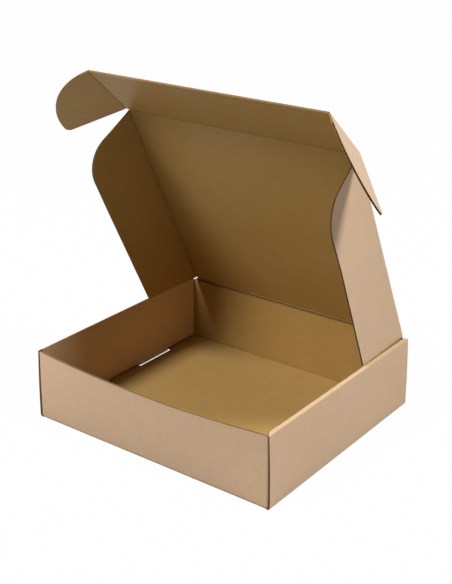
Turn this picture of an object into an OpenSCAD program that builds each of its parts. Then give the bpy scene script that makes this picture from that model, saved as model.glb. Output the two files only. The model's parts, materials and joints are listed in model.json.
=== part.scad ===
// Corrugated mailer box: a tray with roll-over side walls and a hinged lid with a tuck flap,
// cut and folded from one sheet of E-flute board.
// Millimetres. X runs across the box, Y from front to back, Z up from what the tray stands on.
// The origin is the middle of the tray's underside.

/* [Tray] */
// Clear width between the side walls
inner_w = 240; // [150:1:340]
// Clear depth between the front and back walls
inner_d = 215; // [170:1:320]
// Height of the side walls above the base
inner_h = 65; // [50:1:110]
// How far the front wall stops short of the side walls' top
front_drop = 1; // [0:0.5:6]
// Outward bow of the front wall at its top edge
front_bow = 9; // [0:0.5:15]
// Place of the bow's peak, right of the middle
front_bow_x = 22; // [-60:1:60]
// Length of the corner flaps folded into the side walls
corner_flap_l = 58; // [30:1:80]
// Slope of a corner flap's upper and lower edges over its length
corner_flap_taper = 6; // [0:1:15]
// Clearance of the corner flaps below the side walls' roll
corner_flap_drop = 1; // [0.2:0.1:4]
// Length of the slope that lowers a wall's top edge to its corner flaps
wall_corner_cut = 2.5; // [1:0.5:6]

/* [Board] */
// Thickness of the board
board_t = 1.5; // [1.2:0.1:2]
// Inside radius of a right-angle fold
fold_r = 0.6; // [0.3:0.1:1.5]
// Gap between layers that lie face to face
layer_gap = 0.1; // [0.05:0.05:0.3]
// Gap left at a crease that moves
crease_gap = 0.1; // [0.05:0.05:0.3]

/* [Side walls] */
// Fall of the rolled top towards the outside, in degrees
roll_fall = 35; // [5:1:45]
// Outside radius of the roll's inner fold
roll_inner_r = 1.6; // [1.6:0.1:2]
// Outside radius of the roll's outer fold
roll_outer_r = 2.5; // [2.1:0.1:3]
// Length of each lock tab along the wall's foot
tab_l = 42; // [20:1:70]
// Distance of each lock tab's middle from the tray's middle
tab_y = 43; // [36:1:60]
// Chamfer of a lock tab's lower corners
tab_lead = 2; // [1:0.5:5]
// Height of the tabs' lower ends above what the tray stands on
tab_lift = 0.25; // [0.1:0.05:0.5]
// Clearance between a lock tab and the outer side of its slot
tab_clear = 0.3; // [0.1:0.1:0.6]
// Clearance at each end of a lock tab in its slot
tab_end_clear = 2.7; // [0.3:0.1:5]
// Width of the slot's opening beside the tab, inside the tray
slot_lead = 3.3; // [0.3:0.1:5]
// Gap under the inner panels, between the lock tabs
foot_gap = 1.6; // [0.1:0.1:4]
// Gap between an inner panel's ends and the front and back walls
inner_end_gap = 1.2; // [0.3:0.1:4]

/* [Lid] */
// Angle of the lid from closed
lid_open = 63.3; // [2:0.1:180]
// Gap between the tucked flap and the front wall
tuck_wall_gap = 1.25; // [0.5:0.05:4]
// Gap between the closed flaps' lower edges and the base
base_gap = 0.25; // [0.1:0.05:3]

/* [Lid side flaps] */
// Fold of the side flaps from flat
flap_fold = 90; // [89:0.5:92]
// Set-back of a flap's rear edge from the hinge
flap_rear_gap = 0.8; // [0.8:0.1:12]
// Taper of the rear edge, in degrees
flap_rear_taper = 26.5; // [15:0.5:35]
// Set-back of a flap's front edge from the tuck crease
flap_front_gap = 1; // [0.5:0.5:6]
// Taper of the front edge, in degrees
flap_front_taper = 5; // [2:1:15]
// Radius of a flap's front corner
flap_corner_r = 28; // [5:1:40]

/* [Tuck flap and ears] */
// Inward bend of the tuck flap from the lid
tuck_bend = 22.4; // [0:0.1:93]
// Inward fold of the left ear
ear_fold_left = 32; // [0:1:90]
// Inward fold of the right ear
ear_fold_right = 49; // [0:1:90]
// Gap on each side of a folded ear, between the side wall and the lid's side flap
ear_side_gap = 0.2; // [0.2:0.05:1]
// Set-back of an ear's straight edge from the tuck crease
ear_gap = 2; // [1:0.5:6]
// Radius of an ear's tip
ear_tip_r = 5; // [2:0.5:10]

/* [Hidden] */
$fn = 96;
kraft_outer = "#C8A98A";
kraft_inner = "#A9875A";

// Half sizes of the tray, across three layers of board on each side and one at front and back
inner_x = inner_w / 2;
flap_x = inner_x + board_t + layer_gap;
side_x = flap_x + board_t + layer_gap;
outer_x = side_x + board_t;
inner_y = inner_d / 2;
outer_y = inner_y + board_t;
wall_top = board_t + inner_h;
front_top = wall_top - front_drop;
back_shoulder = front_top - board_t;
fold_out_r = fold_r + board_t;

// Ends of the front and back walls, where the corner flaps turn back into the side walls
turn_x = flap_x + board_t - fold_out_r;
turn_y = outer_y - fold_out_r;
corner_flap_foot = fold_out_r + 2 * layer_gap;
corner_flap_top = wall_top - roll_outer_r - corner_flap_drop;

// Centres of the roll's two folds and the length of board between them
roll_in_c = [inner_x + roll_inner_r, wall_top - roll_inner_r];
roll_dir = [cos(roll_fall), -sin(roll_fall)];
roll_normal = [sin(roll_fall), cos(roll_fall)];
roll_step_x = outer_x - roll_outer_r - roll_in_c[0];
roll_l = (roll_step_x + (roll_outer_r - roll_inner_r) * roll_normal[0]) / roll_dir[0];
roll_out_c = roll_in_c + roll_l * roll_dir - (roll_outer_r - roll_inner_r) * roll_normal;
side_end = outer_y - layer_gap;
inner_end = inner_y - inner_end_gap;
inner_foot = board_t + foot_gap;

// Slots of the lock tabs, open beside each tab and past its ends
slot_low_x = inner_x - slot_lead;
slot_high_x = inner_x + board_t + tab_clear;
slot_l = tab_l + 2 * tab_end_clear;

// Lid hinge, level with the side walls' top and in the middle of the board's thickness
hinge_y = outer_y - board_t / 2;
hinge_z = wall_top;
lid_l = hinge_y + inner_y - tuck_wall_gap - board_t;
ear_fold_x = inner_x - ear_side_gap - board_t;
lid_fold_x = ear_fold_x - ear_side_gap - board_t;
closed_drop = hinge_z - board_t / 2 - board_t - base_gap;
flap_w = closed_drop;
flap_crease_l = lid_l - flap_rear_gap - flap_front_gap;
tuck_h = closed_drop - base_gap;
ear_r = tuck_h - ear_gap;
shoulder_turn = 23;
bow_strips = 24;
bow_shape = 1.6;
eps = 0.01;
margin = 1;

// Cross-section of board bent to an inside radius, from one angle to another
module bend(inside_r, from, to) {
    reach = 3 * (inside_r + board_t);
    middle = (from + to) / 2;
    intersection() {
        difference() {
            circle(r = inside_r + board_t);
            circle(r = inside_r);
        }
        polygon([[0, 0], reach * [cos(from), sin(from)],
            reach * [cos(middle), sin(middle)], reach * [cos(to), sin(to)]]);
    }
}

// Extrudes a section drawn in X and Z along Y, centred on the middle of the tray
module along_y(length) {
    rotate([90, 0, 0])
        linear_extrude(height = length, center = true)
            children();
}

// Extrudes a section drawn in Y and Z along X, centred on the middle of the tray
module along_x(length) {
    rotate([90, 0, 90])
        linear_extrude(height = length, center = true)
            children();
}

// Section of the right side wall: fold at the base, outer panel, rolled top and inner panel
module side_section() {
    translate([outer_x - fold_out_r, fold_out_r])
        bend(fold_r, -90, 0);
    translate([side_x, fold_out_r])
        square([board_t, roll_out_c[1] - fold_out_r]);
    translate(roll_out_c)
        bend(roll_outer_r - board_t, 0, 90 - roll_fall);
    polygon([for (corner = [[roll_inner_r, 0], [roll_inner_r - board_t, 0],
            [roll_inner_r - board_t, roll_l], [roll_inner_r, roll_l]])
        roll_in_c + corner[0] * roll_normal + corner[1] * roll_dir]);
    translate(roll_in_c)
        bend(roll_inner_r - board_t, 90 - roll_fall, 180);
    translate([inner_x, inner_foot])
        square([board_t, roll_in_c[1] - inner_foot]);
}

// Plan that trims the right side wall's ends: the inner panel fits between the end walls
module side_plan() {
    polygon([[inner_x - margin, -inner_end], [flap_x, -inner_end], [side_x, -side_end],
        [outer_x + margin, -side_end], [outer_x + margin, side_end], [side_x, side_end],
        [flap_x, inner_end], [inner_x - margin, inner_end]]);
}

module side_wall() {
    intersection() {
        along_y(2 * outer_y)
            side_section();
        linear_extrude(height = wall_top + margin)
            side_plan();
    }
    for (y = [-tab_y, tab_y])
        translate([inner_x, y, 0])
            rotate([90, 0, 90])
                linear_extrude(height = board_t)
                    polygon([[-tab_l / 2, inner_foot + board_t], [-tab_l / 2, board_t],
                        [tab_lead - tab_l / 2, tab_lift], [tab_l / 2 - tab_lead, tab_lift],
                        [tab_l / 2, board_t], [tab_l / 2, inner_foot + board_t]]);
}

// Flat base with the slots that the lock tabs drop into
module base() {
    difference() {
        translate([-(outer_x - fold_out_r), -turn_y, 0])
            cube([2 * (outer_x - fold_out_r), 2 * turn_y, board_t]);
        for (side = [-1, 1], y = [-tab_y, tab_y])
            translate([side * (slot_low_x + slot_high_x) / 2, y, board_t / 2])
                cube([slot_high_x - slot_low_x, slot_l, 2 * board_t], center = true);
    }
}

// Fold between the base and the front wall
module front_fold() {
    along_x(2 * turn_x)
        translate([-turn_y, fold_out_r])
            bend(fold_r, 180, 270);
}

// Outward displacement of the front wall's top edge at x
function bow_at(x) =
    let (side = x < front_bow_x ? front_bow_x + turn_x : turn_x - front_bow_x)
    front_bow * (1 - pow(abs(x - front_bow_x) / side, bow_shape));

// Front wall: straight at its foot and bowed outwards at its top
module bowed_wall() {
    step = 2 * turn_x / bow_strips;
    ring = [for (i = [0:bow_strips]) let (x = -turn_x + i * step, b = bow_at(x)) each [
        [x, -outer_y, fold_out_r],
        [x, -outer_y - b, front_top],
        [x, -inner_y - b, front_top],
        [x, -inner_y, fold_out_r]]];
    last = 4 * bow_strips;
    skin = [for (i = [0:bow_strips - 1], k = [0:3])
        let (a = 4 * i + k, b = 4 * i + (k + 1) % 4)
        each [[a, b, b + 4], [a, b + 4, a + 4]]];
    polyhedron(points = ring,
        faces = concat([[3, 2, 1, 0]], skin, [[last, last + 1, last + 2, last + 3]]));
}

// Corner flap at the front right: a vertical fold, then a panel inside the side wall
module corner_flap() {
    rise = corner_flap_top - corner_flap_foot;
    translate([turn_x, -turn_y, corner_flap_foot])
        linear_extrude(height = rise)
            bend(fold_r, -90, 0);
    translate([flap_x, 0, 0])
        rotate([90, 0, 90])
            linear_extrude(height = board_t)
                polygon([[-turn_y, corner_flap_foot],
                    [corner_flap_l - outer_y, corner_flap_foot + corner_flap_taper],
                    [corner_flap_l - outer_y, corner_flap_top - corner_flap_taper],
                    [-turn_y, corner_flap_top]]);
}

// Wedge that lowers a wall's top edge to its corner flap
module corner_cut() {
    translate([turn_x - wall_corner_cut, 0, 0])
        rotate([90, 0, 0])
            linear_extrude(height = 4 * outer_y, center = true)
                polygon([[0, front_top], [wall_corner_cut, corner_flap_top],
                    [wall_corner_cut + margin, corner_flap_top],
                    [wall_corner_cut + margin, wall_top + margin], [0, wall_top + margin]]);
}

module front_wall() {
    front_fold();
    difference() {
        bowed_wall();
        for (side = [0, 1])
            mirror([side, 0, 0])
                corner_cut();
    }
}

// Back wall, its top edge pared to a ridge on the lid hinge and lower past the lid's ends
module back_wall() {
    mirror([0, 1, 0])
        front_fold();
    difference() {
        translate([-turn_x, inner_y, fold_out_r])
            cube([2 * turn_x, board_t, back_shoulder - fold_out_r]);
        for (side = [0, 1])
            mirror([side, 0, 0])
                corner_cut();
    }
    ridge = hinge_z - crease_gap;
    along_x(2 * lid_fold_x - crease_gap)
        polygon([[inner_y, wall_top / 2], [outer_y, wall_top / 2],
            [outer_y, ridge - board_t / 2], [hinge_y, ridge], [inner_y, ridge - board_t / 2]]);
}

module tray() {
    color(kraft_outer) {
        base();
        front_wall();
        back_wall();
        for (side = [0, 1])
            mirror([side, 0, 0]) {
                side_wall();
                corner_flap();
                mirror([0, 1, 0])
                    corner_flap();
            }
    }
}

// Places what is drawn flat with Y away from the hinge and Z towards the inside of the box
module on_lid() {
    translate([0, hinge_y, hinge_z])
        rotate([180 - lid_open, 0, 0])
            children();
}

// The same for the tuck flap, from its crease at the lid's inner face
module on_tuck() {
    on_lid()
        translate([0, lid_l, board_t / 2])
            rotate([tuck_bend, 0, 0])
                children();
}

// Rounded shoulder of a side crease, part of a turn about the crease at the inner face
module shoulder(from) {
    intersection() {
        circle(r = board_t);
        polygon([[0, 0], 2 * board_t * [cos(from), sin(from)],
            2 * board_t * [cos(from + shoulder_turn), sin(from + shoulder_turn)]]);
    }
}

// Lid panel: ridged at the hinge, square at the tuck crease, with rounded side shoulders
module lid_panel() {
    half = board_t / 2;
    color(kraft_inner)
        on_lid() {
            along_x(2 * lid_fold_x - crease_gap)
                polygon([[crease_gap, 0], [crease_gap + half, half],
                    [lid_l - crease_gap / 2, half], [lid_l - crease_gap / 2, -half],
                    [crease_gap + half, -half]]);
            for (side = [0, 1])
                mirror([side, 0, 0])
                    translate([lid_fold_x - crease_gap / 2 - eps, flap_rear_gap + flap_crease_l / 2, half])
                        along_y(flap_crease_l)
                            shoulder(-90);
        }
}

// Outline of a side flap: X away from its crease, Y away from the hinge
module side_flap_outline() {
    front = lid_l - flap_front_gap;
    front_slope = tan(flap_front_taper);
    centre = [flap_w - flap_corner_r,
        front - (flap_w - flap_corner_r) * front_slope - flap_corner_r / cos(flap_front_taper)];
    tangent = centre + flap_corner_r * [sin(flap_front_taper), cos(flap_front_taper)];
    corner = [flap_w, front - flap_w * front_slope];
    difference() {
        polygon([[crease_gap / 2, flap_rear_gap], [flap_w, flap_rear_gap + flap_w * tan(flap_rear_taper)],
            corner, [crease_gap / 2, front]]);
        difference() {
            polygon([centre, [flap_w + margin, centre[1]], corner + [margin, margin],
                2 * tangent - centre]);
            translate(centre)
                circle(r = flap_corner_r);
        }
    }
}

// Right side flap at its fold angle, with its half of the crease's shoulder
module side_flap() {
    color(kraft_inner)
        on_lid()
            translate([lid_fold_x, 0, board_t / 2])
                rotate([0, -flap_fold, 0]) {
                    translate([0, 0, -board_t])
                        linear_extrude(height = board_t)
                            side_flap_outline();
                    translate([crease_gap / 2 + eps, flap_rear_gap + flap_crease_l / 2, 0])
                        along_y(flap_crease_l)
                            shoulder(-90 - shoulder_turn);
                }
}

module lid_side_flap_left() {
    mirror([1, 0, 0])
        side_flap();
}

module lid_side_flap_right() {
    side_flap();
}

module tuck_flap() {
    half_w = ear_fold_x - crease_gap / 2;
    color(kraft_inner)
        on_tuck()
            translate([-half_w, crease_gap / 2, -board_t])
                cube([2 * half_w, tuck_h - crease_gap / 2, board_t]);
}

// Quarter-round ear with a straight lower edge and a rounded tip
module ear_outline() {
    tip = [sqrt(pow(ear_r - ear_tip_r, 2) - pow(ear_tip_r, 2)), ear_tip_r];
    turn = atan2(tip[1], tip[0]);
    difference() {
        intersection() {
            circle(r = ear_r, $fn = 180);
            translate([crease_gap / 2, 0])
                square(ear_r + margin);
        }
        difference() {
            polygon([tip, [tip[0], -margin], [ear_r + ear_tip_r, -margin],
                (ear_r + ear_tip_r) * [cos(turn), sin(turn)]]);
            translate(tip)
                circle(r = ear_tip_r);
        }
    }
}

// Right ear folded by an angle
module ear(fold) {
    color(kraft_inner)
        on_tuck()
            translate([ear_fold_x, ear_gap, 0])
                rotate([0, -fold, 0])
                    translate([0, 0, -board_t])
                        linear_extrude(height = board_t)
                            ear_outline();
}

module tuck_ear_left() {
    mirror([1, 0, 0])
        ear(ear_fold_left);
}

module tuck_ear_right() {
    ear(ear_fold_right);
}

tray();
lid_panel();
lid_side_flap_left();
lid_side_flap_right();
tuck_flap();
tuck_ear_left();
tuck_ear_right();
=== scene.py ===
# Corrugated mailer box with its lid open: the looks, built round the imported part
import json
import math

import bmesh
import bpy
from mathutils import Matrix, Vector


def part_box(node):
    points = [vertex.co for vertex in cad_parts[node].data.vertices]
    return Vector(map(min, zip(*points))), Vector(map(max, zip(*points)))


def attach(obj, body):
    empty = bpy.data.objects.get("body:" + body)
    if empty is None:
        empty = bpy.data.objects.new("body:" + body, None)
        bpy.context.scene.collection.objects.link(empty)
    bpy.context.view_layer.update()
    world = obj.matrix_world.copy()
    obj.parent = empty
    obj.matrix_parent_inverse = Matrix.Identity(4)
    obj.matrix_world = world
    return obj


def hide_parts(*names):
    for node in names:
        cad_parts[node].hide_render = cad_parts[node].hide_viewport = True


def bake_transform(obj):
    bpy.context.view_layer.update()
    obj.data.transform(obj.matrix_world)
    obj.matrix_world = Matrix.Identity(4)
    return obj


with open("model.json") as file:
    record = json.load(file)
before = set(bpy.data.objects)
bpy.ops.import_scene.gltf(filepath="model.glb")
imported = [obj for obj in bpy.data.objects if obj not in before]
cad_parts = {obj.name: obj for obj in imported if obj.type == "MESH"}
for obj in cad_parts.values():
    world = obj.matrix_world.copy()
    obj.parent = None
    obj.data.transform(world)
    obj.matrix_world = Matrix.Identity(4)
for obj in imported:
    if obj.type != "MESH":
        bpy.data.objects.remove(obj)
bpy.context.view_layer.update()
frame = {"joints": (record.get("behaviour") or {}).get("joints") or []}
print("frame loaded")

mm = 0.001
tiny = 1e-7  # nearer than this, a vertex lies on a cutting plane
near = 1e-6  # nearer than this, two ends of a seam are one
joints = {j["name"]: j for j in frame["joints"]}

# E-flute board: two liners with a wavy sheet between them
board = {
    "thick": 1.5 * mm,
    "liner": 0.22 * mm,
    "fluting": 0.16 * mm,
    "flutePitch": 3.4 * mm,
    "fluteSteps": 8,       # facets in each flute
    "edgeRim": 0.12 * mm,  # how far the fluting stops inside an edge cut across the flutes
    "channel": 0.8 * mm,   # width of the crushed edge where a cut runs along the flutes
    "wallChannel": 3.4 * mm,  # depth of the open channel at the side walls' ends
    "crushed": 0.45 * mm,  # thickness of the fluting where a fold has crushed it
    "score": 0.75 * mm,    # depth of the scored line inside a fold that moves
    "cornerScore": 0.52 * mm,  # the same where an end wall meets the base
    "scoreLip": 0.7,       # share of that fold's inside, on each side, that the score leaves flat
    "creaseHalf": 0.9 * mm,  # half the width that a crease crushes
    "sharpAngle": math.radians(40),
}

# Where the creases lie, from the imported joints
hinge = Vector(joints["lid_hinge"]["pos_m"])
lidAway = Vector(joints["lid_side_flap_right_fold"]["axis"])  # from the hinge to the tuck crease
acrossX = Vector((1, 0, 0))
lidInward = acrossX.cross(lidAway)
tuckAway = Vector(joints["tuck_ear_right_fold"]["axis"])
tuckInward = acrossX.cross(tuckAway)
tuckCrease = Vector(joints["tuck_flap_fold"]["pos_m"])
sideCreaseX = joints["lid_side_flap_right_fold"]["pos_m"][0]
earCreaseX = joints["tuck_ear_right_fold"]["pos_m"][0]
lidLength = (tuckCrease - hinge).dot(lidAway)
lidBend = math.atan2(lidAway.dot(Vector((0, -1, 0))), lidAway.z)
tuckBend = lidAway.angle(tuckAway)


def newNode(tree, kind, **settings):
    node = tree.nodes.new(kind)
    for key, value in settings.items():
        if hasattr(node, key):
            setattr(node, key, value)
        else:
            node.inputs[key].default_value = value
    return node


def mixColour(tree, share, first, second, blendType="MIX"):
    mix = tree.nodes.new("ShaderNodeMix")
    mix.data_type = "RGBA"
    mix.blend_type = blendType
    # inputs 6 and 7 are the mix node's two colours, and output 2 is the colour it gives
    for socket, value in ((mix.inputs[0], share), (mix.inputs[6], first), (mix.inputs[7], second)):
        if isinstance(value, bpy.types.NodeSocket):
            tree.links.new(value, socket)
        else:
            socket.default_value = value
    return mix.outputs[2]


def fromSrgb(colour):
    shares = [value / 255 for value in colour]
    linear = [c / 12.92 if c <= 0.04045 else ((c + 0.055) / 1.055) ** 2.4 for c in shares]
    return (*linear, 1)


def ramp(tree, value, low, high):
    made = newNode(tree, "ShaderNodeMapRange")
    made.inputs["From Min"].default_value = low
    made.inputs["From Max"].default_value = high
    tree.links.new(value, made.inputs["Value"])
    return made.outputs[0]


def startPaper(name):
    material = bpy.data.materials.new(name)
    material.use_nodes = True
    tree = material.node_tree
    place = tree.nodes.new("ShaderNodeTexCoord").outputs["Object"]
    return material, tree, tree.nodes["Principled BSDF"], place


def finishPaper(tree, shader, height, finish):
    bump = newNode(tree, "ShaderNodeBump", Strength=finish["bump"], Distance=finish["bumpDepth"])
    tree.links.new(height, bump.inputs["Height"])
    tree.links.new(bump.outputs[0], shader.inputs["Normal"])
    shader.inputs["Roughness"].default_value = finish["roughness"]
    shader.inputs["Specular IOR Level"].default_value = finish["specular"]


# Kraft paper: fibres along X, soft mottling, dark flecks and a faint swell over each flute
kraft = {
    "fibreScale": (520, 1100, 1100),
    "fibreShare": 0.4,
    "mottleScale": 80.0,
    "mottleRange": (0.35, 0.65),
    "fleckScale": 1250.0,
    "fleckRange": (0.68, 0.8),
    "fluteSwell": 0.03,
    "bump": 0.35,
    "bumpDepth": 0.12 * mm,
    "roughness": 0.5,
    "specular": 0.35,
}


def kraftPaper(name, tones, across):
    # across is the direction that crosses the flutes on that panel
    material, tree, shader, place = startPaper(name)
    link = tree.links.new

    fibre = newNode(tree, "ShaderNodeMapping", vector_type="POINT")
    fibre.inputs["Scale"].default_value = kraft["fibreScale"]
    link(place, fibre.inputs["Vector"])
    fibreNoise = newNode(tree, "ShaderNodeTexNoise", Scale=1.0, Detail=3.0, Roughness=0.6)
    link(fibre.outputs[0], fibreNoise.inputs["Vector"])
    mottle = newNode(tree, "ShaderNodeTexNoise", Scale=kraft["mottleScale"], Detail=5.0, Roughness=0.75)
    link(place, mottle.inputs["Vector"])
    fleck = newNode(tree, "ShaderNodeTexNoise", Scale=kraft["fleckScale"], Detail=1.0)
    link(place, fleck.inputs["Vector"])

    run = newNode(tree, "ShaderNodeVectorMath", operation="DOT_PRODUCT")
    run.inputs[1].default_value = across
    link(place, run.inputs[0])
    turns = newNode(tree, "ShaderNodeMath", operation="MULTIPLY")
    turns.inputs[1].default_value = 2 * math.pi / board["flutePitch"]
    link(run.outputs["Value"], turns.inputs[0])
    flute = newNode(tree, "ShaderNodeMath", operation="SINE")
    link(turns.outputs[0], flute.inputs[0])

    mottled = ramp(tree, mottle.outputs["Fac"], *kraft["mottleRange"])
    ground = mixColour(tree, mottled, fromSrgb(tones["low"]), fromSrgb(tones["high"]))
    fibred = mixColour(tree, kraft["fibreShare"], ground, fibreNoise.outputs["Fac"], "SOFT_LIGHT")
    flecks = ramp(tree, fleck.outputs["Fac"], *kraft["fleckRange"])
    link(mixColour(tree, flecks, fibred, fromSrgb(tones["fleck"])), shader.inputs["Base Color"])

    height = newNode(tree, "ShaderNodeMath", operation="MULTIPLY_ADD")
    height.inputs[1].default_value = kraft["fluteSwell"]
    link(flute.outputs[0], height.inputs[0])
    link(fibreNoise.outputs["Fac"], height.inputs[2])
    finishPaper(tree, shader, height.outputs[0], kraft)
    return material


# Fluting paper, as a cut edge shows it: rough and dull
fluting = {"scale": 900.0, "bump": 0.4, "bumpDepth": 0.1 * mm, "roughness": 0.92, "specular": 0.15}


def cutEdgePaper(name, tones):
    material, tree, shader, place = startPaper(name)
    noise = newNode(tree, "ShaderNodeTexNoise", Scale=fluting["scale"], Detail=3.0, Roughness=0.6)
    tree.links.new(place, noise.inputs["Vector"])
    colour = mixColour(tree, noise.outputs["Fac"], fromSrgb(tones["low"]), fromSrgb(tones["high"]))
    tree.links.new(colour, shader.inputs["Base Color"])
    finishPaper(tree, shader, noise.outputs["Fac"], fluting)
    return material


# sRGB values, as a colour picker gives them
paperTones = {
    "outside": {"low": (203, 170, 136), "high": (207, 174, 140), "fleck": (180, 146, 113)},
    "inside": {"low": (164, 130, 71), "high": (168, 134, 76), "fleck": (144, 108, 52)},
    # the base's inside liner: the same paper as the other inside faces, painted lighter and less yellow
    # for the stronger light that falls on the base
    "insideBaseLit": {"low": (167, 135, 79), "high": (171, 139, 84), "fleck": (146, 112, 58)},
    "fluting": {"low": (124, 95, 60), "high": (146, 114, 76)},
}
cutEdge = cutEdgePaper("kraftFluting", paperTones["fluting"])


def papers(label, across, inside="inside"):
    # outside liner, inside liner and fluting, in the order of the mesh's material slots
    return [kraftPaper("kraftOutside" + label, paperTones["outside"], across),
            kraftPaper("kraftInside" + label, paperTones[inside], across),
            cutEdge]


# the base panel and the side walls take the copy of the inside tone painted lighter for the base's
# stronger light
basePapers = papers("Base", (0, 1, 0), "insideBaseLit")
wallPapers = papers("Wall", (0, 0, 1))
lidPapers = papers("Lid", lidAway)
tuckPapers = papers("Tuck", tuckAway)
outsideSlot, insideSlot, flutingSlot = 0, 1, 2
print("papers ready")


def addLayer(piece, layer, slotIndex, thick, place=None):
    # gives a sheet its thickness away from its shown side, and adds it to the piece at its place
    shown = layer.faces[:]
    bmesh.ops.solidify(layer, geom=shown, thickness=thick)
    for face in layer.faces:
        face.material_index = flutingSlot
        face.smooth = True
    for face in shown:
        face.material_index = slotIndex
    if place is not None:
        bmesh.ops.transform(layer, matrix=place, verts=layer.verts)
    carrier = bpy.data.meshes.new("carrier")
    layer.to_mesh(carrier)
    layer.free()
    piece.from_mesh(carrier)
    bpy.data.meshes.remove(carrier)


def finishPiece(piece, name, body, materials, mirrored=False):
    if mirrored:
        bmesh.ops.scale(piece, vec=(-1, 1, 1), verts=piece.verts)
        bmesh.ops.reverse_faces(piece, faces=piece.faces)
    mesh = bpy.data.meshes.new(name)
    piece.to_mesh(mesh)
    piece.free()
    for material in materials:
        mesh.materials.append(material)
    mesh.set_sharp_from_angle(angle=board["sharpAngle"])
    made = bpy.data.objects.new(name, mesh)
    bpy.context.scene.collection.objects.link(made)
    if body:
        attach(made, body)
    return made


def flatGrid(lowX, highX, lowY, highY, stepsX, stepsY):
    sheet = bmesh.new()
    bmesh.ops.create_grid(sheet, x_segments=stepsX, y_segments=stepsY, size=0.5)
    bmesh.ops.scale(sheet, vec=(highX - lowX, highY - lowY, 1), verts=sheet.verts)
    bmesh.ops.translate(sheet, vec=((lowX + highX) / 2, (lowY + highY) / 2, 0), verts=sheet.verts)
    return sheet


def cutPlane(sheet, point, away, faces=None, clear=False):
    # cuts a sheet, or only some of its faces, along a plane, and may clear what lies beyond it
    if faces is None:
        verts, edges, faces = sheet.verts[:], sheet.edges[:], sheet.faces[:]
    else:
        edges = list({e for f in faces for e in f.edges})
        verts = list({v for f in faces for v in f.verts})
    return bmesh.ops.bisect_plane(sheet, geom=verts + edges + faces, dist=tiny, plane_co=point,
                                  plane_no=away, clear_outer=clear)


def trim(sheet, cuts, inset=0.0):
    # each cut is a point and the direction that is cut away
    for point, away in cuts:
        away = Vector((*away, 0)).normalized()
        cutPlane(sheet, Vector((*point, 0)) - away * inset, away, clear=True)


def roundCorner(centre, radius, fromAngle, toAngle, steps):
    cuts = []
    radius *= math.cos((toAngle - fromAngle) / steps / 2)  # keeps the facets' corners on the arc
    for k in range(steps + 1):
        turn = fromAngle + (toAngle - fromAngle) * k / steps
        away = (math.cos(turn), math.sin(turn))
        cuts.append(((centre[0] + radius * away[0], centre[1] + radius * away[1]), away))
    return cuts


def cutAway(sheet, boxes):
    # removes what lies inside each box, given by its low and high corners
    for low, high in boxes:
        for axis, values in enumerate(zip(low, high)):
            for value in values:
                point, away = Vector(), Vector()
                point[axis] = value
                away[axis] = 1
                cutPlane(sheet, point, away)
        inside = [f for f in sheet.faces
                  if all(low[axis] < f.calc_center_median()[axis] < high[axis] for axis in (0, 1))]
        bmesh.ops.delete(sheet, geom=inside, context="FACES")


def flutedSheet(lowX, highX, lowY, highY, stepsX, cuts=(), boxes=()):
    # the wavy middle of the board, flutes along X, its middle plane at z 0
    wave = board["thick"] / 2 - board["liner"] - board["fluting"] / 2
    flutes = (highY - lowY) / board["flutePitch"]
    sheet = flatGrid(lowX, highX, lowY, highY, stepsX, max(2, round(flutes * board["fluteSteps"])))
    for vert in sheet.verts:
        vert.co.z = wave * math.sin(2 * math.pi * vert.co.y / board["flutePitch"])
    trim(sheet, cuts, board["edgeRim"])
    cutAway(sheet, boxes)
    bmesh.ops.translate(sheet, verts=sheet.verts, vec=(0, 0, board["fluting"] / 2))
    return sheet


def linerSheet(lowX, highX, lowY, highY, steps, cuts, boxes, inside):
    # one liner, its face at z 0 on the inside and at minus the board's thickness on the outside
    sheet = flatGrid(lowX, highX, lowY, highY, *steps)
    trim(sheet, cuts)
    cutAway(sheet, boxes)
    if not inside:
        bmesh.ops.reverse_faces(sheet, faces=sheet.faces)
        bmesh.ops.translate(sheet, verts=sheet.verts, vec=(0, 0, -board["thick"]))
    return sheet


def panel(piece, lowX, highX, lowY, highY, place, cuts=(), boxes=(), steps=(24, 24), shape=None):
    # a flat stretch of board: X along the flutes, Z towards the inside, inside face at z 0
    rim = board["edgeRim"]
    layers = []
    for inside, slotIndex in ((False, outsideSlot), (True, insideSlot)):
        liner = linerSheet(lowX, highX, lowY, highY, steps, cuts, boxes, inside)
        layers.append((liner, slotIndex, board["liner"]))
    channel = board["channel"]
    middle = flutedSheet(lowX + rim, highX - rim, lowY + channel, highY - channel, steps[0], cuts, boxes)
    bmesh.ops.translate(middle, verts=middle.verts, vec=(0, 0, -board["thick"] / 2))
    layers.append((middle, flutingSlot, board["fluting"]))
    for edge in (lowY + rim / 2, highY - channel):
        crushed = flatGrid(lowX + rim, highX - rim, edge, edge + channel - rim / 2, steps[0], 2)
        trim(crushed, cuts, rim)
        cutAway(crushed, boxes)
        bmesh.ops.translate(crushed, verts=crushed.verts, vec=(0, 0, -board["liner"]))
        layers.append((crushed, flutingSlot, board["thick"] - 2 * board["liner"]))
    for layer, slotIndex, thick in layers:
        if shape:
            for vert in layer.verts:
                vert.co = shape(vert.co)
        addLayer(piece, layer, slotIndex, thick, place)


def matrixOf(origin, x, y, z):
    made = Matrix.Identity(4)
    for column, vector in enumerate((x, y, z, origin)):
        for row in range(3):
            made[row][column] = vector[row]
    return made


def wire(sheet, points):
    verts = [sheet.verts.new(p) for p in points]
    return [sheet.edges.new(pair) for pair in zip(verts, verts[1:])]


def pull(sheet, edges, move, steps):
    # extrudes a chain of edges and gives back the last chain
    for _ in range(steps):
        grown = bmesh.ops.extrude_edge_only(sheet, edges=edges)["geom"]
        verts = [g for g in grown if isinstance(g, bmesh.types.BMVert)]
        bmesh.ops.translate(sheet, verts=verts, vec=Vector(move) / steps)
        edges = [g for g in grown
                 if isinstance(g, bmesh.types.BMEdge) and all(v in verts for v in g.verts)]
    return edges


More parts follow.
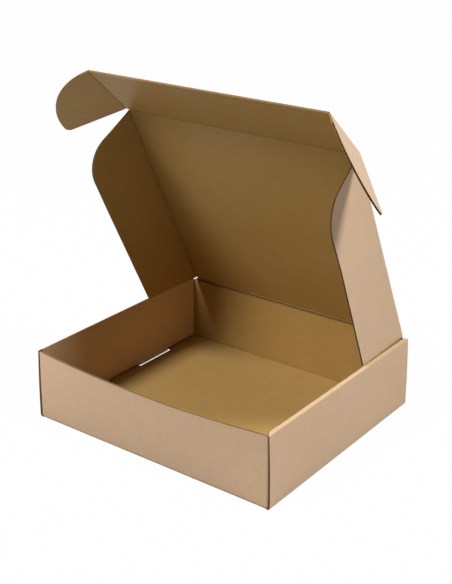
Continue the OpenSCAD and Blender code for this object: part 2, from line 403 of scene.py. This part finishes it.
def arc(centre, radius, fromDegrees, toDegrees, steps):
    turns = [math.radians(fromDegrees + (toDegrees - fromDegrees) * k / steps)
             for k in range(steps + 1)]
    return [(centre[0] + radius * math.cos(t), centre[1] + radius * math.sin(t)) for t in turns]


def bend(centre, radius, fromDegrees, toDegrees, steps):
    # an arc, or the sharp corner of a fold's inner side where the board is thicker than the radius
    if radius > 0:
        return arc(centre, radius, fromDegrees, toDegrees, steps)
    half = math.radians(toDegrees - fromDegrees) / 2
    middle = math.radians(fromDegrees) + half
    reach = radius / math.cos(half)
    return [(centre[0] + reach * math.cos(middle), centre[1] + reach * math.sin(middle))]


def between(start, end, steps):
    return [tuple(a + (b - a) * k / steps for a, b in zip(start, end)) for k in range(1, steps)]


# The tray's own folds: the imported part's sizes, with crisper tops that lean in
tray = {
    "frontTop": 65.5 * mm,
    "frontSlopeReach": 4 * mm,  # width over which the front wall's top sinks towards a corner
    "frontSlopeDrop": 0.6 * mm,
    "foldOut": 2.1 * mm,        # outside radius of a right-angle fold
    "rollFall": math.radians(19),  # how far the side walls' tops slope down outwards
    "rollInnerR": 0.4 * mm,     # outside radii of the two creases along a top
    "rollOuterR": 0.5 * mm,
    "rollDepth": 3 * mm,        # how far below the tops the open flutes end
    "coreDepth": 3.2 * mm,      # and the crushed fluting of the tops starts
    "coreReach": 2 * mm,        # width of the crushed fluting in the fold at the base
    "coreInset": 0.1 * mm,      # how far it stops inside the ends
    "baseFold": 3 * mm,         # below this height the outer panel is one with the base's fold
    "layerGap": 0.1 * mm,
    "lean": 2 * mm,             # how far the side walls' outsides lean in at their top
    "tabMiddle": 43 * mm,
    "tabLength": 42 * mm,
    "tabLift": 0.25 * mm,       # height of the tabs' lower ends above the floor
    "slotOuterClear": 0.3 * mm,
    "slotLead": 2.75 * mm,      # width of the slot's opening beside the tab
    "slotEndClear": 2.7 * mm,
    "frontSlotClear": -1 * mm,  # at the rear ends of the front slots
    "footGap": 1.6 * mm,        # gap under the inner panels, between the tabs
    "endGap": 1.2 * mm,         # gap at the inner panels' ends
    "cornerFlap": 58 * mm,
    "cornerTop": 63 * mm,
    "bow": 9 * mm,
    "bowPeak": 22 * mm,
    "bowShape": 1.6,            # right of the peak
    "bowShapeLeft": 2.4,
    "wallSteps": 60,            # divisions along the front and back walls
}
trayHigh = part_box("tray")[1]
outerX = trayHigh.x
outerY = trayHigh.y
innerX = outerX - 3 * board["thick"] - 2 * tray["layerGap"]
flapX = innerX + board["thick"] + tray["layerGap"]
sideX = outerX - board["thick"]
innerY = outerY - board["thick"]
wallTop = trayHigh.z
turnX = flapX + board["thick"] - tray["foldOut"]
turnY = outerY - tray["foldOut"]
outerEnd = outerY - tray["layerGap"]
innerEnd = innerY - tray["endGap"]
innerFoot = board["thick"] + tray["footGap"]
innerBack = innerX + board["thick"] + tray["layerGap"] / 2  # just behind the inner panels

# How far each liner's shown face lies below the outside of the sheet, and its material slot
linerFaces = ((0.0, outsideSlot), (board["thick"], insideSlot))


def leanIn(piece):
    # leans the double side walls inwards, most at the top of their outside
    for vert in piece.verts:
        across = min(1.0, max(0.0, (abs(vert.co.x) - innerX) / (outerX - innerX)))
        rise = min(1.0, max(0.0, vert.co.z / wallTop)) ** 2
        vert.co.x -= math.copysign(tray["lean"] * across * rise, vert.co.x)


# Base panel, with the slots of the lock tabs
def makeBase():
    piece = bmesh.new()
    halfX = outerX - tray["foldOut"]
    place = matrixOf((0, 0, board["thick"]), (1, 0, 0), (0, 1, 0), (0, 0, 1))
    slots = []
    for side in (-1, 1):
        ends = sorted((side * (innerX - tray["slotLead"]),
                       side * (innerX + board["thick"] + tray["slotOuterClear"])))
        for middle, rearClear in ((-tray["tabMiddle"], tray["frontSlotClear"]),
                                  (tray["tabMiddle"], tray["slotEndClear"])):
            front = middle - tray["tabLength"] / 2 - tray["slotEndClear"]
            slots.append(((ends[0], front), (ends[1], middle + tray["tabLength"] / 2 + rearClear)))
    far = outerY + mm
    slots += [((-turnX, turnY), (turnX, far)), ((-turnX, -far), (turnX, -turnY))]
    panel(piece, -halfX, halfX, -outerEnd, outerEnd, place, boxes=slots)
    return finishPiece(piece, "basePanel", "tray", basePapers)


# Side wall: up, over the roll and down again to the lock tabs
def sideSection(depth):
    fall = math.degrees(tray["rollFall"])
    normal = (math.sin(tray["rollFall"]), math.cos(tray["rollFall"]))
    run = (normal[1], -normal[0])
    inCentre = (innerX + tray["rollInnerR"], wallTop - tray["rollInnerR"])
    bigger = tray["rollOuterR"] - tray["rollInnerR"]
    length = (outerX - tray["rollOuterR"] - inCentre[0] + bigger * normal[0]) / run[0]
    outCentre = tuple(inCentre[i] + length * run[i] - bigger * normal[i] for i in (0, 1))
    foot = (outerX - tray["foldOut"], tray["foldOut"])
    lower = arc(foot, tray["foldOut"] - depth, -90, 0, steps=6)
    outer = bend(outCentre, tray["rollOuterR"] - depth, 0, 90 - fall, steps=6)
    inner = bend(inCentre, tray["rollInnerR"] - depth, 90 - fall, 180, steps=8)
    last = (inner[-1][0], tray["tabLift"])
    return (lower + between(lower[-1], outer[0], steps=8) + outer
            + between(outer[-1], inner[0], steps=8) + inner
            + between(inner[-1], last, steps=8) + [last])


def trimSideEnds(sheet):
    # the outer panel runs to the corner, the roll is cut on a slant and the inner panel stops inside
    for x in (flapX, sideX):
        cut = cutPlane(sheet, (x, 0, 0), (1, 0, 0))["geom_cut"]
        seam = [g for g in cut
                if isinstance(g, bmesh.types.BMEdge) and g.verts[0].co.z > tray["baseFold"]]
        bmesh.ops.split_edges(sheet, edges=seam)
    for end in (-1, 1):
        slant = Vector((-(outerEnd - innerEnd), end * (sideX - flapX), 0)).normalized()
        zones = [(0, flapX, 0, Vector((0, end * innerEnd, 0)), Vector((0, end, 0))),
                 (flapX, sideX, tray["baseFold"], Vector((flapX, end * innerEnd, 0)), slant)]
        for low, high, floor, point, away in zones:
            faces = [f for f in sheet.faces
                     if low <= f.calc_center_median().x < high and f.calc_center_median().z > floor]
            cutPlane(sheet, point, away, faces, clear=True)
    bmesh.ops.remove_doubles(sheet, verts=sheet.verts, dist=near)


def tabGaps():
    # the stretches of the inner panel's foot that stop above the base
    low, high = -mm, innerFoot
    ends = [tray["tabMiddle"] - tray["tabLength"] / 2, tray["tabMiddle"] + tray["tabLength"] / 2]
    far = outerY + mm
    stretches = ((-far, -ends[1]), (-ends[0], ends[0]), (ends[1], far))
    return [((start, low), (end, high)) for start, end in stretches]


def cutFoot(sheet):
    # leaves only the lock tabs below the foot of the inner panel
    along, upward = (0, 1, 0), (0, 0, 1)
    for (lowY, _), (highY, highZ) in tabGaps():
        for point, away in (((0, lowY, 0), along), ((0, highY, 0), along), ((0, 0, highZ), upward)):
            faces = [f for f in sheet.faces if f.calc_center_median().x < innerBack]
            cutPlane(sheet, point, away, faces)
        gone = []
        for f in sheet.faces:
            middle = f.calc_center_median()
            if middle.x < innerBack and lowY < middle.y < highY and middle.z < highZ:
                gone.append(f)
        bmesh.ops.delete(sheet, geom=gone, context="FACES")


def addRollCore(piece, length):
    # crushed fluting in the roll and in the fold at the base
    path = sideSection(board["thick"] / 2)
    top = [p for p in path if p[1] > wallTop - tray["coreDepth"]]
    low = [p for p in path if p[1] < tray["foldOut"] + near and p[0] > sideX - tray["coreReach"]]
    for points in (top, low):
        sheet = bmesh.new()
        edges = wire(sheet, [(x, -length / 2 + tray["coreInset"], z) for x, z in points])
        pull(sheet, edges, (0, length - 2 * tray["coreInset"], 0), steps=4)
        trimSideEnds(sheet)
        addLayer(piece, sheet, flutingSlot, board["crushed"])


def addSideFluting(piece):
    top = wallTop - tray["rollDepth"]
    tabFoot = tray["tabLift"] + board["edgeRim"]
    gaps = [((low[1], low[0]), (high[1] + board["edgeRim"], high[0])) for low, high in tabGaps()]
    for middle, end, foot, boxes in ((outerX - board["thick"] / 2, outerEnd, tray["foldOut"], ()),
                                     (innerX + board["thick"] / 2, innerEnd, tabFoot, gaps)):
        reach = end - board["wallChannel"]
        sheet = flutedSheet(foot, top, -reach, reach, stepsX=6, boxes=boxes)
        upright = matrixOf((middle, 0, 0), (0, 0, 1), (0, 1, 0), (-1, 0, 0))
        addLayer(piece, sheet, flutingSlot, board["fluting"], upright)


def makeSideWall(name, mirrored):
    piece = bmesh.new()
    length = 2 * outerEnd
    for depth, slotIndex in linerFaces:
        sheet = bmesh.new()
        edges = wire(sheet, [(x, -length / 2, z) for x, z in sideSection(depth)])
        pull(sheet, edges, (0, length, 0), steps=24)
        trimSideEnds(sheet)
        cutFoot(sheet)
        if slotIndex == insideSlot:
            bmesh.ops.reverse_faces(sheet, faces=sheet.faces)
        addLayer(piece, sheet, slotIndex, board["liner"])
    addRollCore(piece, length)
    addSideFluting(piece)
    leanIn(piece)
    finishPiece(piece, name, "tray", basePapers, mirrored)


# Front and back walls with their corner flaps
def bowAt(x):
    if x < tray["bowPeak"]:
        span, shape = tray["bowPeak"] + turnX, tray["bowShapeLeft"]
    else:
        span, shape = turnX - tray["bowPeak"], tray["bowShape"]
    return tray["bow"] * (1 - min(1.0, abs(x - tray["bowPeak"]) / span) ** shape)


def bowOut(sheet, top):
    # pushes the wall outwards, from nothing at its fold to the whole bow at its top
    for vert in sheet.verts:
        if vert.co.z > tray["foldOut"]:
            rise = (vert.co.z - tray["foldOut"]) / (top - tray["foldOut"])
            vert.co.y -= bowAt(vert.co.x) * rise


def scoredCorner(path):
    # a scored line in place of the inside of a right-angle fold
    start, end = Vector(path[0]), Vector(path[-1])
    corner = Vector((end.x, start.y))
    deep = corner - (Vector((start.x, end.y)) - corner).normalized() * board["cornerScore"]
    lips = [tuple(p.lerp(corner, board["scoreLip"])) for p in (start, end)]
    return [tuple(start), lips[0], tuple(deep), lips[1], tuple(end)]


def cutCorners(sheet, top, slopeStart, drop, inset=0.0):
    # slopes the wall's top edge down towards its corner flaps
    for side in (-1, 1):
        away = Vector((side * drop, 0, turnX - slopeStart)).normalized()
        cutPlane(sheet, Vector((side * slopeStart, 0, top)) - away * inset, away, clear=True)


def lowerFlapTops(sheet, top, depth):
    # the top edge falls round each corner's fold to the height of the flap behind it
    for vert in sheet.verts:
        along = min(1.0, max(0.0, (abs(vert.co.x) - turnX) / (tray["foldOut"] - depth)))
        vert.co.z = min(vert.co.z, top - (top - tray["cornerTop"]) * along)


def makeEndWall(name, top, slopeStart, drop, bowed, mirrored):
    # from slopeStart on, the top edge sinks by drop on its way to each corner
    piece = bmesh.new()
    steps = tray["wallSteps"]
    centre = (-turnY, tray["foldOut"])
    for depth, slotIndex in linerFaces:
        path = arc(centre, tray["foldOut"] - depth, 270, 180, steps=6)
        if slotIndex == insideSlot:
            path = scoredCorner(path)
        sheet = bmesh.new()
        points = path + between(path[-1], (path[-1][0], top), steps=10) + [(path[-1][0], top)]
        pull(sheet, wire(sheet, [(-turnX, y, z) for y, z in points]), (2 * turnX, 0, 0), steps)
        cutCorners(sheet, top, slopeStart, drop)
        ends = {side: [e for e in sheet.edges if all(abs(v.co.x - side * turnX) < near for v in e.verts)
                       and min(v.co.z for v in e.verts) > tray["foldOut"] - near] for side in (-1, 1)}
        if bowed:
            bowOut(sheet, top)
        for side, edges in ends.items():
            verts = list({v for e in edges for v in e.verts})
            turned = bmesh.ops.spin(sheet, geom=edges + verts, cent=(side * turnX, -turnY, 0),
                                    axis=(0, 0, 1), angle=side * math.pi / 2, steps=6,
                                    dvec=(0, 0, 0), use_duplicate=False)
            last = [g for g in turned["geom_last"] if isinstance(g, bmesh.types.BMEdge)]
            pull(sheet, last, (0, tray["cornerFlap"] - tray["foldOut"], 0), steps=3)
        bmesh.ops.remove_doubles(sheet, verts=sheet.verts, dist=tiny)
        lowerFlapTops(sheet, top - drop, depth)
        if slotIndex == insideSlot:
            bmesh.ops.reverse_faces(sheet, faces=sheet.faces)
        addLayer(piece, sheet, slotIndex, board["liner"])
    rim = board["edgeRim"]
    flutes = flutedSheet(-turnX, turnX, tray["foldOut"], top - board["channel"], steps)
    crushed = flatGrid(-turnX, turnX, top - board["channel"], top - rim / 2, steps, 2)
    for sheet, y, depth in ((flutes, -outerY + board["thick"] / 2, board["fluting"]),
                            (crushed, -innerY - board["liner"], board["thick"] - 2 * board["liner"])):
        upright = matrixOf((0, y, 0), (-1, 0, 0), (0, 0, 1), (0, 1, 0))
        bmesh.ops.transform(sheet, verts=sheet.verts, matrix=upright)
        cutCorners(sheet, top, slopeStart, drop, rim)
        if bowed:
            bowOut(sheet, top)
        addLayer(piece, sheet, flutingSlot, depth)
    flapEnd, flapTop = tray["cornerFlap"] - outerY, tray["cornerTop"] - mm
    for side in (-1, 1):
        sheet = flutedSheet(-turnY, flapEnd, tray["foldOut"], flapTop, stepsX=2)
        beside = matrixOf((side * (flapX + board["thick"] / 2), 0, 0), (0, 1, 0), (0, 0, 1), (1, 0, 0))
        addLayer(piece, sheet, flutingSlot, board["fluting"], beside)
    leanIn(piece)
    if mirrored:
        bmesh.ops.scale(piece, vec=(1, -1, 1), verts=piece.verts)
        bmesh.ops.reverse_faces(piece, faces=piece.faces)
    finishPiece(piece, name, "tray", wallPapers)


base = makeBase()
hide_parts("tray")
makeSideWall("sideWallRight", False)
makeSideWall("sideWallLeft", True)
makeEndWall("frontWall", tray["frontTop"], turnX - tray["frontSlopeReach"], tray["frontSlopeDrop"],
            bowed=True, mirrored=False)
backTop = hinge.z - board["creaseHalf"]
makeEndWall("backWall", backTop, sideCreaseX, backTop - tray["cornerTop"], bowed=False, mirrored=True)
print("tray folded")

# Lid, its side flaps, the tuck flap and the ears
lid = {
    "rearGap": 0.8 * mm,
    "rearTaper": math.radians(26.5),
    "frontGap": 1 * mm,
    "frontTaper": math.radians(5),
    "flapWidth": 64 * mm,
    "cornerR": 28 * mm,
    "springLeft": 3.2 * mm,   # how far the flaps stand out past a right angle at their front
    "springRight": 6.4 * mm,
    "springRear": 1.5 * mm,   # the same at their rear, where the side walls hold them in
    "springStart": 0.15,      # share of a flap's length at which the spring starts to grow
    "springRun": 0.55,        # and over which it grows
    "springCurve": 1.4,
}
tuck = {
    "earGap": 2 * mm,
    "tipR": 5 * mm,
    "foldLeft": math.radians(joints["tuck_ear_left_fold"]["range_deg"][1]),
    "foldRight": math.radians(joints["tuck_ear_right_fold"]["range_deg"][1]),
}
half = board["creaseHalf"]
tuckHeight = (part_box("tuck_flap")[1].z - tuckCrease.z + board["thick"] * tuckInward.z) / tuckAway.z


def makeLid():
    piece = bmesh.new()
    place = matrixOf(hinge + lidInward * board["thick"] / 2, acrossX, lidAway, lidInward)
    reach = sideCreaseX - half
    panel(piece, -reach, reach, half, lidLength - half, place, steps=(30, 30))
    made = finishPiece(piece, "lidPanel", "lid_panel", lidPapers)
    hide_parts("lid_panel")


def makeSideFlap(name, node, spring, mirrored):
    piece = bmesh.new()
    width = lid["flapWidth"]
    front = lidLength - lid["frontGap"]
    slope = math.tan(lid["frontTaper"])
    cornerX = width - lid["cornerR"]
    cornerY = front - cornerX * slope - lid["cornerR"] / math.cos(lid["frontTaper"])
    cuts = [((0, lid["rearGap"]), (math.sin(lid["rearTaper"]), -math.cos(lid["rearTaper"])))]
    cuts += roundCorner((cornerX, cornerY), lid["cornerR"], 0, math.pi / 2 - lid["frontTaper"], steps=14)
    place = matrixOf(hinge + acrossX * sideCreaseX + lidInward * board["thick"] / 2,
                     lidInward, lidAway, -acrossX)

    def spread(co):
        # stands the flap out past a right angle, more towards its front and its free edge
        along = max(0.0, min(1.0, (co.y / front - lid["springStart"]) / lid["springRun"]))
        out = lid["springRear"] + (spring - lid["springRear"]) * along
        return Vector((co.x, co.y, co.z - out * (co.x / width) ** lid["springCurve"]))

    panel(piece, half, width, 0, front, place, cuts=cuts, steps=(16, 40), shape=spread)
    made = finishPiece(piece, name, node, lidPapers, mirrored)
    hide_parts(node)


def makeTuck():
    piece = bmesh.new()
    place = matrixOf(tuckCrease, acrossX, tuckAway, tuckInward)
    reach = earCreaseX - half
    panel(piece, -reach, reach, half, tuckHeight, place, steps=(40, 12))
    made = finishPiece(piece, "tuckFlap", "tuck_flap", tuckPapers)
    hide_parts("tuck_flap")


def makeEar(name, node, fold, mirrored):
    piece = bmesh.new()
    radius = tuckHeight - tuck["earGap"]
    tipX = math.sqrt((radius - tuck["tipR"]) ** 2 - tuck["tipR"] ** 2)
    turn = math.atan2(tuck["tipR"], tipX)
    cuts = roundCorner((0, 0), radius, turn, math.pi / 2, steps=24)
    cuts += roundCorner((tipX, tuck["tipR"]), tuck["tipR"], -math.pi / 2, turn, steps=8)
    outward = acrossX * math.cos(fold) + tuckInward * math.sin(fold)
    origin = tuckCrease + acrossX * earCreaseX + tuckAway * tuck["earGap"]
    place = matrixOf(origin, outward, tuckAway, outward.cross(tuckAway))
    panel(piece, half, radius, 0, radius, place, cuts=cuts, steps=(12, 12))
    made = finishPiece(piece, name, node, tuckPapers, mirrored)
    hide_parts(node)


makeLid()
makeSideFlap("sideFlapRight", "lid_side_flap_right", lid["springRight"], False)
makeSideFlap("sideFlapLeft", "lid_side_flap_left", lid["springLeft"], True)
makeTuck()
makeEar("earRight", "tuck_ear_right", tuck["foldRight"], False)
makeEar("earLeft", "tuck_ear_left", tuck["foldLeft"], True)
print("lid folded")

# Creases at the joints: each liner runs round the fold as a strip, shaped as the fold stands at rest
crease = {
    "steps": 8,         # facets round the outside of a fold
    "lip": 0.5 * half,  # how near to the fold's middle the inside liner stays flat
    "bendShare": 0.7,   # share of the crease's width at which the start and end points beside the fold are set
}


def fillCrease(piece, outline, direction, length):
    # the crushed fluting between the two liners of a crease
    section = piece.faces.new([piece.verts.new(p) for p in outline])
    section.material_index = flutingSlot
    grown = bmesh.ops.extrude_face_region(piece, geom=[section], use_keep_orig=True)["geom"]
    far = [g for g in grown if isinstance(g, bmesh.types.BMVert)]
    bmesh.ops.translate(piece, verts=far, vec=direction * length)
    core = [section] + [g for g in grown if isinstance(g, bmesh.types.BMFace)]
    bmesh.ops.recalc_face_normals(piece, faces=core)


def makeCrease(name, origin, away, inward, along, fold, radii, materials, mirrored=False):
    # away leads out of the first panel, inward is its inside, and the second panel turns by fold
    outR, inR = radii
    direction, low, high = along
    second = away * math.cos(fold) + inward * math.sin(fold)
    insideSecond = inward * math.cos(fold) - away * math.sin(fold)
    bisector = inward * math.cos(fold / 2) - away * math.sin(fold / 2)
    outer = [away * -half - inward * outR]
    for k in range(crease["steps"] + 1):
        turn = fold * k / crease["steps"]
        outer.append((away * math.sin(turn) - inward * math.cos(turn)) * outR)
    outer.append(second * half + (away * math.sin(fold) - inward * math.cos(fold)) * outR)

    def innerPath(depth):
        # the fold's inside with its scored line, at a depth below the liner's face
        level = inR - depth
        return [away * -half + inward * level,
                away * -crease["lip"] + inward * level,
                bisector * (inR / math.cos(fold / 2) - board["score"] - depth),
                second * crease["lip"] + insideSecond * level,
                second * half + insideSecond * level]

    liner, rim = board["liner"], board["edgeRim"]
    deeper = (outR - liner) / outR
    core = [away * -half - inward * (outR - liner)] + [p * deeper for p in outer[1:-1]]
    core += [second * half + outer[-2] * deeper] + innerPath(liner)[::-1]
    liners = (("Outside", outer, outsideSlot), ("Inside", innerPath(0.0), insideSlot))
    for label, path, slotIndex in liners:
        piece = bmesh.new()
        sheet = bmesh.new()
        edges = wire(sheet, [origin + p + direction * low for p in path])
        pull(sheet, edges, direction * (high - low), steps=24)
        sheet.normal_update()
        wanted = -inward if slotIndex == outsideSlot else inward
        if sum((f.normal.dot(wanted) for f in sheet.faces), 0.0) < 0:
            bmesh.ops.reverse_faces(sheet, faces=sheet.faces)
        addLayer(piece, sheet, slotIndex, liner)
        if slotIndex == outsideSlot:
            outline = [origin + p + direction * (low + rim) for p in core]
            fillCrease(piece, outline, direction, high - low - 2 * rim)
        strip = finishPiece(piece, name + label, None, materials, mirrored)
        start = origin - away * half * crease["bendShare"]
        end = origin + second * half * crease["bendShare"]
        if mirrored:
            start, end = (Vector((-p.x, p.y, p.z)) for p in (start, end))
        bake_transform(strip)


up, forward = Vector((0, 0, 1)), Vector((0, -1, 0))
thick = board["thick"]
lidWide = (acrossX, half - sideCreaseX, sideCreaseX - half)
makeCrease("hingeCrease", hinge, up, forward, lidWide, lidBend,
           (thick / 2, thick / 2), lidPapers)
makeCrease("tuckCrease", tuckCrease, lidAway, lidInward, lidWide, tuckBend,
           (thick, 0.0), lidPapers)
for side, mirrored in (("Right", False), ("Left", True)):
    origin = hinge + acrossX * sideCreaseX + lidInward * thick / 2
    along = (lidAway, lid["rearGap"], lidLength - lid["frontGap"])
    makeCrease("sideCrease" + side, origin, acrossX,
               lidInward, along, math.pi / 2, (thick, 0.0), lidPapers, mirrored)
    origin = tuckCrease + acrossX * earCreaseX
    along = (tuckAway, tuck["earGap"], tuckHeight)
    makeCrease("earCrease" + side, origin, acrossX,
               tuckInward, along, tuck["fold" + side], (thick, 0.0), tuckPapers, mirrored)
print("creases made")

# Camera at the photograph's viewpoint, found by fitting the box's corners
view = {
    "azimuth": math.radians(36.673),
    "elevation": math.radians(22.738),
    "roll": math.radians(0.337),
    "focalPixels": 1131.3,
    "longSidePixels": 584,
    "fromCamera": Vector((-0.0031868, 0.428191, 4.11299)),  # tray's origin in the camera's axes
    "fitUnit": 0.2494,     # the tray's width, in which that is measured
    "sensorWidth": 36,
    "clip": (0.05, 20),
}


def makeCamera():
    az, el, roll = view["azimuth"], view["elevation"], view["roll"]
    right = Vector((math.cos(az), math.sin(az), 0))
    back = Vector((math.sin(az) * math.cos(el), -math.cos(az) * math.cos(el), math.sin(el)))
    down = right.cross(back)
    rolledRight = right * math.cos(roll) - down * math.sin(roll)
    rolledDown = right * math.sin(roll) + down * math.cos(roll)
    offset = view["fromCamera"] * view["fitUnit"]
    place = -(rolledRight * offset.x + rolledDown * offset.y - back * offset.z)
    camera = bpy.data.cameras.new("camera")
    camera.sensor_width = view["sensorWidth"]
    camera.lens = view["focalPixels"] * camera.sensor_width / view["longSidePixels"]
    camera.clip_start, camera.clip_end = view["clip"]
    holder = bpy.data.objects.new("camera", camera)
    holder.matrix_world = matrixOf(place, rolledRight, -rolledDown, back)
    bpy.context.scene.collection.objects.link(holder)
    bpy.context.scene.camera = holder


# Plain studio: white floor and backdrop, soft lamps
studio = {
    "world": 0.02,
    "white": (1, 1, 1, 1),
    "floorWhite": 0.985,  # how much of the floor's own white shows over the light and shadow on it
    "floorTone": (0.45, 0.45, 0.45, 1),
    "floorRoughness": 0.95,
    "floorReach": 3,
    "floorDrop": 0.2 * mm,
    "aim": Vector((0, 0, 0.1)),
    "key": {"place": (-0.5, -0.83, 1.22), "size": 0.5, "power": 22.8},
    "side": {"place": (1.47, 0.47, 2.0), "size": 0.9, "power": 54},
}


def makeLamp(name, place, size, power):
    lamp = bpy.data.lights.new(name, "AREA")
    lamp.shape = "DISK"
    lamp.size = size
    lamp.energy = power
    holder = bpy.data.objects.new(name, lamp)
    holder.location = place
    holder.rotation_euler = (studio["aim"] - Vector(place)).to_track_quat("-Z", "Y").to_euler()
    bpy.context.scene.collection.objects.link(holder)


def seenRays(tree):
    # 1 for a ray that shows the backdrop itself: straight from the camera, mirrored or through glass
    path = tree.nodes.new("ShaderNodeLightPath")
    reached = path.outputs["Is Camera Ray"]
    for kind in ("Is Glossy Ray", "Is Transmission Ray"):
        either = newNode(tree, "ShaderNodeMath", operation="MAXIMUM")
        tree.links.new(reached, either.inputs[0])
        tree.links.new(path.outputs[kind], either.inputs[1])
        reached = either.outputs[0]
    return reached


def makeWorld():
    world = bpy.data.worlds.new("studio")
    bpy.context.scene.world = world
    world.use_nodes = True
    tree = world.node_tree
    light = tree.nodes["Background"]
    light.inputs["Color"].default_value = studio["white"]
    light.inputs["Strength"].default_value = studio["world"]
    seen = newNode(tree, "ShaderNodeBackground", Strength=1.0)
    seen.inputs["Color"].default_value = studio["white"]
    mix = tree.nodes.new("ShaderNodeMixShader")
    tree.links.new(seenRays(tree), mix.inputs[0])
    tree.links.new(light.outputs[0], mix.inputs[1])
    tree.links.new(seen.outputs[0], mix.inputs[2])
    tree.links.new(mix.outputs[0], tree.nodes["World Output"].inputs["Surface"])


def makeFloor():
    floorMesh = bpy.data.meshes.new("floor")
    reach = studio["floorReach"]
    sheet = flatGrid(-reach, reach, -reach, reach, 2, 2)
    bmesh.ops.translate(sheet, verts=sheet.verts, vec=(0, 0, -studio["floorDrop"]))
    sheet.to_mesh(floorMesh)
    sheet.free()
    floor = bpy.data.objects.new("floor", floorMesh)
    bpy.context.scene.collection.objects.link(floor)
    material = bpy.data.materials.new("floorWhite")
    material.use_nodes = True
    tree = material.node_tree
    shader = tree.nodes["Principled BSDF"]
    shader.inputs["Base Color"].default_value = studio["floorTone"]
    shader.inputs["Roughness"].default_value = studio["floorRoughness"]
    glow = newNode(tree, "ShaderNodeEmission", Strength=1.0)
    glow.inputs["Color"].default_value = studio["white"]
    share = newNode(tree, "ShaderNodeMath", operation="MULTIPLY")
    share.inputs[1].default_value = studio["floorWhite"]
    tree.links.new(seenRays(tree), share.inputs[0])
    mix = tree.nodes.new("ShaderNodeMixShader")
    tree.links.new(share.outputs[0], mix.inputs[0])
    tree.links.new(shader.outputs[0], mix.inputs[1])
    tree.links.new(glow.outputs[0], mix.inputs[2])
    tree.links.new(mix.outputs[0], tree.nodes["Material Output"].inputs["Surface"])
    floorMesh.materials.append(material)


makeCamera()
makeWorld()
makeFloor()
for lampName in ("key", "side"):
    makeLamp(lampName, **studio[lampName])
bpy.context.scene.view_settings.view_transform = "Standard"
print("studio lit")
